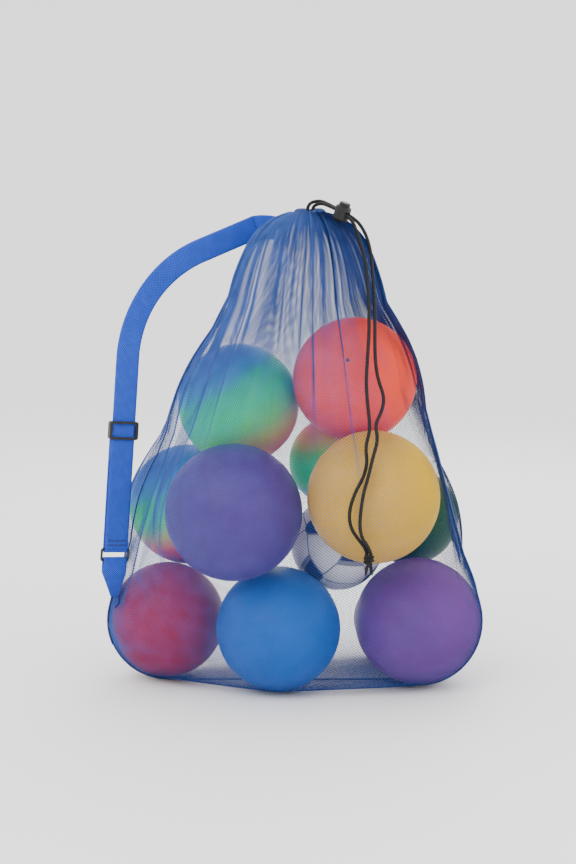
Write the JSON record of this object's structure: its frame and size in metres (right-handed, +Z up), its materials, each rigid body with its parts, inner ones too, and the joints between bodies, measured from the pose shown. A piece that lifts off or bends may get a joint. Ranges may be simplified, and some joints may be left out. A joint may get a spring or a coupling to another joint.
{
  "type": "mesh ball bag",
  "caption": "Drawstring mesh ball bag full of inflated play balls, with a webbing shoulder strap, a sliding adjuster and a sprung cord lock on its long drawstring",
  "frame": {"origin": "on the floor under the middle of the filled bag", "axes": "+X to the bag's right, +Y to its back, +Z up through the gathered mouth"},
  "size_m": [0.6147, 0.4588, 0.7821],
  "materials": {
    "net": "royal blue knitted polyester net",
    "seam_tape": "darker blue folded seam with dense stitches",
    "webbing": "royal blue flat woven polypropylene webbing",
    "thread": "dark bartack thread",
    "cord": "black braided drawstring cord",
    "black_plastic": "black moulded acetal",
    "ring_steel": "black enamelled steel wire",
    "spring_steel": "plain steel spring wire",
    "valve_rubber": "dark rubber",
    "ball_coral": "coral satin vinyl",
    "ball_rainbow": "swirled rainbow gloss vinyl",
    "ball_purple": "purple gloss vinyl",
    "ball_yellow": "yellow gloss vinyl",
    "ball_panels": "white vinyl with navy pentagons",
    "ball_red": "deep red gloss vinyl",
    "ball_blue": "bright blue gloss vinyl",
    "ball_green": "dark green gloss vinyl"
  },
  "bodies": {
    "bag": {"front_panel": "net", "back_panel": "net", "side_seam_left": "seam_tape", "side_seam_right": "seam_tape", "bottom_seam": "seam_tape", "drawstring_hem": "net", "drawstring_loop": "cord", "cord_tail_left": "cord", "cord_tail_right": "cord", "end_knot": "cord", "strap_top_patch": "webbing", "strap_corner_patch": "webbing", "ball_valves": "valve_rubber", "coral_ball": "ball_coral", "rainbow_ball_upper": "ball_rainbow", "rainbow_ball_left": "ball_rainbow", "purple_ball_front": "ball_purple", "yellow_ball": "ball_yellow", "rainbow_ball_back": "ball_rainbow", "soccer_ball": "ball_panels", "red_ball": "ball_red", "blue_ball": "ball_blue", "purple_ball_right": "ball_purple", "violet_ball": "ball_purple", "green_ball": "ball_green"},
    "strap": {"shoulder_strap": "webbing", "strap_return": "webbing", "anchor_tab": "webbing", "strap_bartacks": "thread"},
    "adjuster": {"tri_glide": "black_plastic", "strap_end_fold": "webbing"},
    "ring": {"strap_ring": "ring_steel"},
    "cord_lock": {"cord_lock_body": "black_plastic", "cord_lock_spring": "spring_steel"},
    "cord_lock_button": {"cord_lock_button": "black_plastic"}
  },
  "joints": [
    {"name": "strap_swing", "type": "hinge", "parent": "bag", "child": "strap", "pos_m": [-0.289, -0.026, 0.149], "axis": [0.3575, 0.1198, 0.9262], "range_deg": [-50, 0]},
    {"name": "adjuster_slide", "type": "slide", "parent": "strap", "child": "adjuster", "axis": [-0.0692, -0.033, -0.9971], "range_m": [0, 0.11]},
    {"name": "ring_tilt", "type": "hinge", "parent": "strap", "child": "ring", "pos_m": [-0.28435, -0.05108, 0.231], "axis": [0.8999, 0.4292, -0.0767], "range_deg": [-4, 4]},
    {"name": "cord_lock_slide", "type": "slide", "parent": "bag", "child": "cord_lock", "axis": [0.7101, -0.5858, -0.3906], "range_m": [-0.008, 0.0015]},
    {"name": "cord_lock_press", "type": "slide", "parent": "cord_lock", "child": "cord_lock_button", "axis": [-0.305, 0.244, -0.9206], "range_m": [0, 0.003], "stiffness_N_per_m": 500, "springref_m": -0.003}
  ]
}
